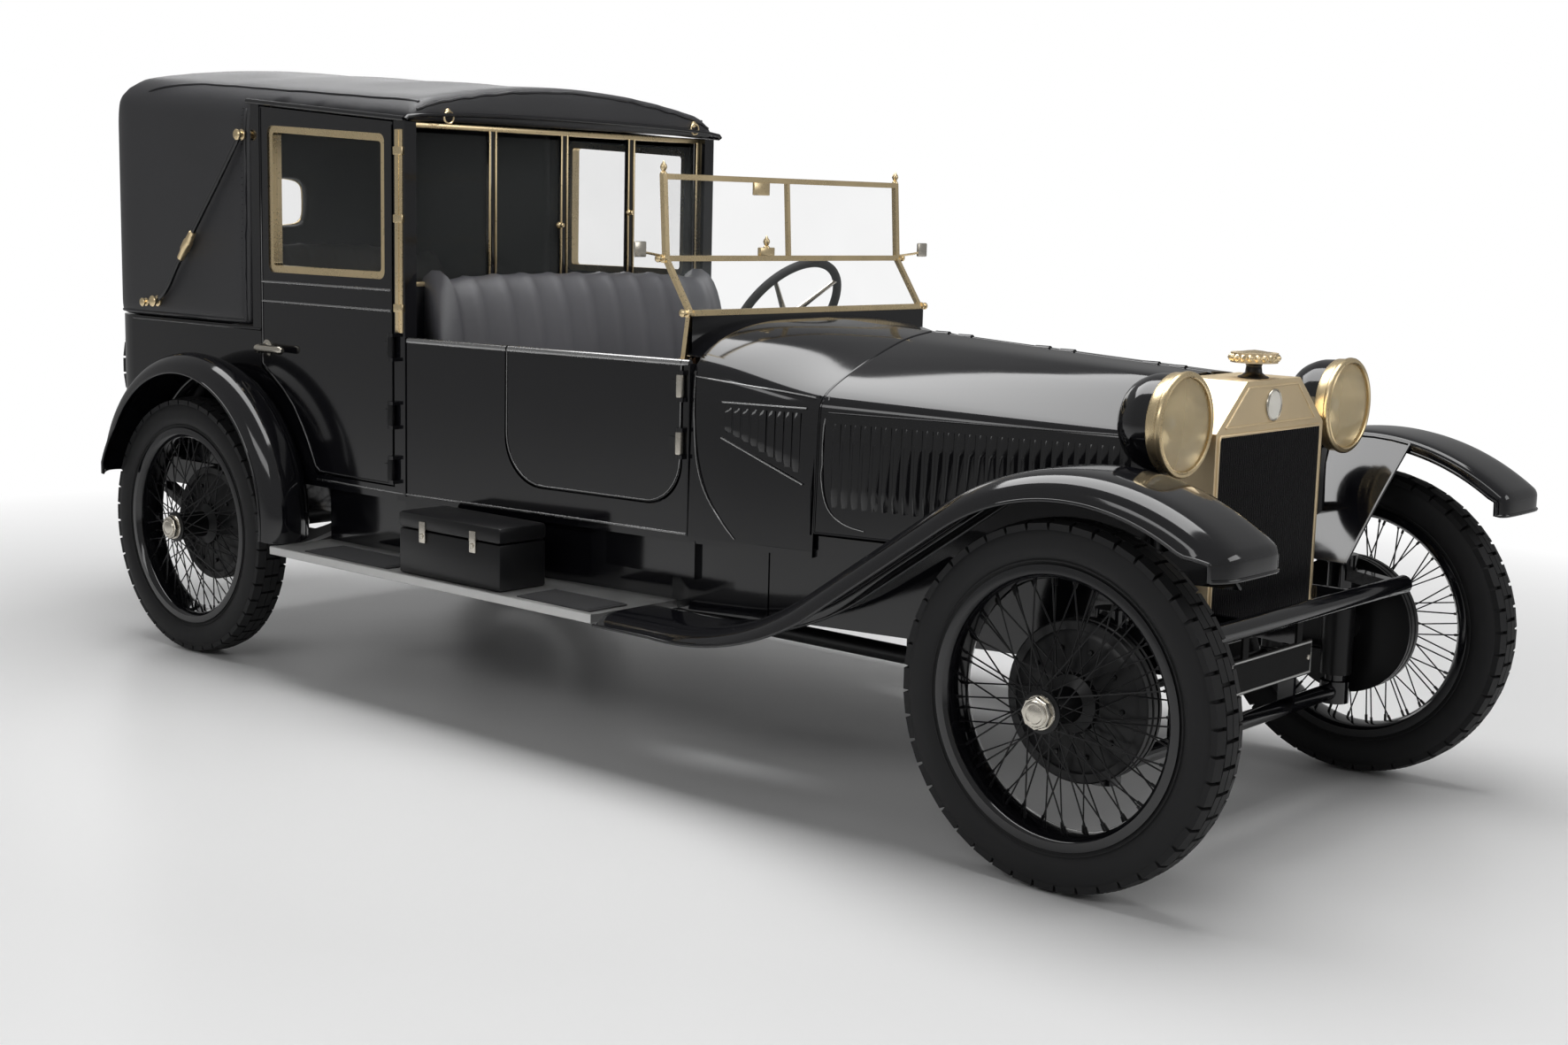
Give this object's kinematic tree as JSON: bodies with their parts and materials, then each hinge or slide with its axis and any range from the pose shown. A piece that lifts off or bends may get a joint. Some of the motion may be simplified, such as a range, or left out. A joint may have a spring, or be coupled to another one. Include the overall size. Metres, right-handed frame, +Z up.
{
  "type": "coupe de ville motor car",
  "caption": "Coupe de ville car with a long louvred bonnet, open driver's seat, closed cabin under a leather head, wire wheels and swept fenders.",
  "frame": {"origin": "on the ground, centred between the foremost and rearmost points and between the sides", "axes": "+X forward, +Y to the car's left, +Z up"},
  "size_m": [4.455, 1.558, 1.7655],
  "materials": {
    "black_paint": "polished coach paint",
    "brass": "polished",
    "nickel": "polished nickel plate",
    "black_steel": "satin black enamel",
    "cast_iron": "cast, painted grey",
    "aluminium": "brushed",
    "leather": "grained",
    "tyre": "matt",
    "rubber": "matt, ribbed",
    "wood": "varnished",
    "black_plastic": "moulded rim",
    "glass": "clear"
  },
  "bodies": {
    "car": {"cabin_body": "black_paint", "control_levers": "nickel", "cowl": "black_paint", "dashboard": "wood", "division_frame": "brass", "division_panel": "wood", "driver_body": "black_paint", "engine_block": "cast_iron", "exhaust": "black_steel", "fixed_glass": "glass", "front_fenders": "black_paint", "front_frame": "black_paint", "gearbox_and_shaft": "cast_iron", "headlamp_bowls": "black_paint", "headlamp_lenses": "glass", "headlamp_rims": "brass", "hull": "black_paint", "landau_irons": "brass", "leather_head": "leather", "number_plate": "black_paint", "radiator_core": "black_steel", "radiator_shell": "brass", "rear_axle": "black_steel", "rear_fenders": "black_paint", "rear_springs": "black_steel", "running_boards": "aluminium", "seat_backs": "leather", "seat_boxes": "wood", "seat_cushions": "leather", "spare_carrier": "black_steel", "spare_tyre": "tyre", "spare_wheel": "black_paint", "steering_column": "nickel", "step_mats": "rubber", "tool_boxes": "black_paint", "windscreen_frame": "brass"},
    "left_front_wheel": {"tyre_front_left": "tyre", "wheel_front_left": "black_paint"},
    "right_front_wheel": {"tyre_front_right": "tyre", "wheel_front_right": "black_paint"},
    "left_rear_wheel": {"tyre_rear_left": "tyre", "wheel_rear_left": "black_paint"},
    "right_rear_wheel": {"tyre_rear_right": "tyre", "wheel_rear_right": "black_paint"},
    "left_knuckle": {"knuckle_left": "black_steel"},
    "right_knuckle": {"knuckle_right": "black_steel"},
    "track_rod": {"tie_rod": "black_steel"},
    "hand_wheel": {"steering_wheel": "black_plastic"},
    "left_front_door": {"front_door_left": "black_paint"},
    "right_front_door": {"front_door_right": "black_paint"},
    "left_rear_door": {"rear_door_left": "black_paint", "rear_door_frame_left": "brass", "rear_door_glass_left": "glass"},
    "right_rear_door": {"rear_door_right": "black_paint", "rear_door_frame_right": "brass", "rear_door_glass_right": "glass"},
    "left_bonnet": {"bonnet_left": "black_paint"},
    "right_bonnet": {"bonnet_right": "black_paint"}
  },
  "joints": [
    {"name": "steer_left", "type": "hinge", "parent": "car", "child": "left_knuckle", "pos_m": [1.8375, 0.52, 0.3825], "axis": [0, 0, 1], "range_deg": [-30, 30]},
    {"name": "steer_right", "type": "hinge", "parent": "car", "child": "right_knuckle", "pos_m": [1.8375, -0.52, 0.3825], "axis": [0, 0, 1], "range_deg": [-30, 30]},
    {"name": "track_rod_pin", "type": "hinge", "parent": "left_knuckle", "child": "track_rod", "pos_m": [1.6525, 0.52, 0.292], "axis": [0, 0, 1], "range_deg": [-30, 30]},
    {"name": "steering_wheel_turn", "type": "hinge", "parent": "car", "child": "hand_wheel", "pos_m": [0.2275, 0.27, 1.06], "axis": [-0.832, 0, 0.5548], "range_deg": [-270, 270]},
    {"name": "wheel_spin_front_left", "type": "hinge", "parent": "left_knuckle", "child": "left_front_wheel", "pos_m": [1.8275, 0.666, 0.3825], "axis": [0, 1, 0], "continuous": true},
    {"name": "wheel_spin_front_right", "type": "hinge", "parent": "right_knuckle", "child": "right_front_wheel", "pos_m": [1.8275, -0.666, 0.3825], "axis": [0, 1, 0], "continuous": true},
    {"name": "wheel_spin_rear_left", "type": "hinge", "parent": "car", "child": "left_rear_wheel", "pos_m": [-1.2725, 0.666, 0.3825], "axis": [0, 1, 0], "continuous": true},
    {"name": "wheel_spin_rear_right", "type": "hinge", "parent": "car", "child": "right_rear_wheel", "pos_m": [-1.2725, -0.666, 0.3825], "axis": [0, 1, 0], "continuous": true},
    {"name": "front_door_left_swing", "type": "hinge", "parent": "car", "child": "left_front_door", "pos_m": [0.5845, 0.51724, 0.8], "axis": [0, 0, -1], "range_deg": [0, 75]},
    {"name": "front_door_right_swing", "type": "hinge", "parent": "car", "child": "right_front_door", "pos_m": [0.5845, -0.51724, 0.8], "axis": [0, 0, 1], "range_deg": [0, 75]},
    {"name": "rear_door_left_swing", "type": "hinge", "parent": "car", "child": "left_rear_door", "pos_m": [-0.4205, 0.61, 0.8], "axis": [0, 0, -1], "range_deg": [0, 75]},
    {"name": "rear_door_right_swing", "type": "hinge", "parent": "car", "child": "right_rear_door", "pos_m": [-0.4205, -0.61, 0.8], "axis": [0, 0, 1], "range_deg": [0, 75]},
    {"name": "bonnet_left_lift", "type": "hinge", "parent": "car", "child": "left_bonnet", "pos_m": [1.7445, 0, 1.01875], "axis": [0.9984, 0, -0.0572], "range_deg": [0, 60]},
    {"name": "bonnet_right_lift", "type": "hinge", "parent": "car", "child": "right_bonnet", "pos_m": [1.7445, 0, 1.01875], "axis": [-0.9984, 0, 0.0572], "range_deg": [0, 60]}
  ],
  "couplings": [
    {"joint": "steer_right", "follows": "steer_left", "ratio": 1},
    {"joint": "track_rod_pin", "follows": "steer_left", "ratio": -1},
    {"joint": "steering_wheel_turn", "follows": "steer_left", "ratio": 9}
  ]
}
